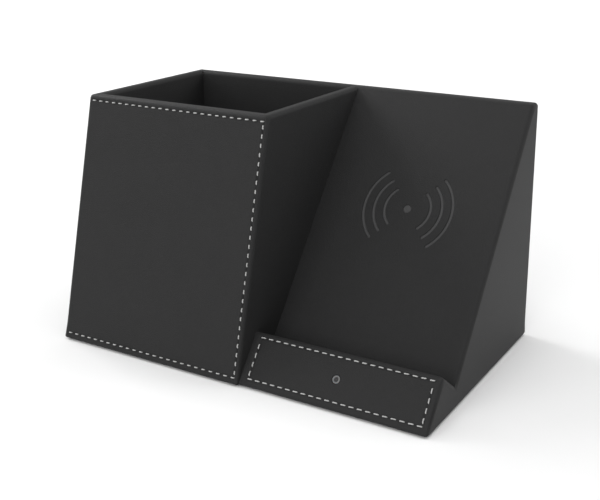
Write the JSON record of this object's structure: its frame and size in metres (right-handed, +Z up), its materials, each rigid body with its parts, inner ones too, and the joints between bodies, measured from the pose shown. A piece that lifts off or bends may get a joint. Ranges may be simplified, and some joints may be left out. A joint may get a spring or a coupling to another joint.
{
  "type": "desk organiser with wireless charging stand",
  "caption": "Leatherette desk organiser: an open pen cup beside a sloping wireless charging stand with a stitched lip and a power inlet in the back.",
  "frame": {"origin": "middle of the footprint on the desk, at the height of the desk", "axes": "+X along the width from the pen cup to the charger, +Y from the front to the back, +Z up"},
  "size_m": [0.2, 0.1209, 0.12],
  "materials": {
    "leatherette": "fine-grain matte black leatherette",
    "lining": "matte black leatherette lining",
    "fibreboard": "medium-density fibreboard",
    "thread": "light grey polyester sewing thread",
    "foam": "black closed-cell anti-slip foam",
    "tray_plastic": "black moulded plastic",
    "circuit_laminate": "green glass-epoxy laminate",
    "chip_plastic": "black moulding compound",
    "capacitor_case": "red moulded capacitor case",
    "ferrite": "dark grey sintered ferrite",
    "copper": "enamelled copper wire",
    "steel": "plain steel",
    "light_guide": "translucent grey light guide",
    "cable_sheath": "black cable sheath"
  },
  "bodies": {
    "root": {"back_board": "fibreboard", "back_cover": "leatherette", "base_pad": "foam", "charger_end_board": "fibreboard", "charger_end_cover": "leatherette", "charger_floor_board": "fibreboard", "charging_coil": "copper", "charging_panel_board": "fibreboard", "charging_panel_cover": "leatherette", "circuit_board": "circuit_laminate", "coil_driver_chip": "chip_plastic", "coil_lead_inner": "copper", "coil_lead_outer": "copper", "coil_tray": "tray_plastic", "controller_chip": "chip_plastic", "cup_floor_board": "fibreboard", "cup_floor_lining": "lining", "cup_front_board": "fibreboard", "cup_front_cover": "leatherette", "cup_front_lining": "lining", "cup_front_thread": "thread", "cup_left_board": "fibreboard", "cup_left_cover": "leatherette", "cup_left_lining": "lining", "cup_rear_lining": "lining", "cup_right_board": "fibreboard", "cup_right_cover": "leatherette", "cup_right_lining": "lining", "cup_rim_cover": "leatherette", "ferrite_sheet": "ferrite", "film_capacitor_1": "capacitor_case", "film_capacitor_2": "capacitor_case", "indicator_core": "chip_plastic", "indicator_lamp": "light_guide", "indicator_ring": "light_guide", "inlet_bezel": "tray_plastic", "inlet_blade": "chip_plastic", "inlet_shell": "steel", "lamp_board": "circuit_laminate", "lamp_cable": "cable_sheath", "ledge_board": "fibreboard", "ledge_cover": "leatherette", "lip_board": "fibreboard", "lip_cover": "leatherette", "lip_thread": "thread", "pcb_screw_1": "steel", "pcb_screw_2": "steel", "pcb_screw_3": "steel", "pcb_screw_4": "steel", "pcb_standoff_1": "tray_plastic", "pcb_standoff_2": "tray_plastic", "pcb_standoff_3": "tray_plastic", "pcb_standoff_4": "tray_plastic", "power_inductor": "ferrite", "tray_screw_1": "steel", "tray_screw_2": "steel", "tray_screw_3": "steel", "tray_screw_4": "steel"}
  },
  "joints": []
}
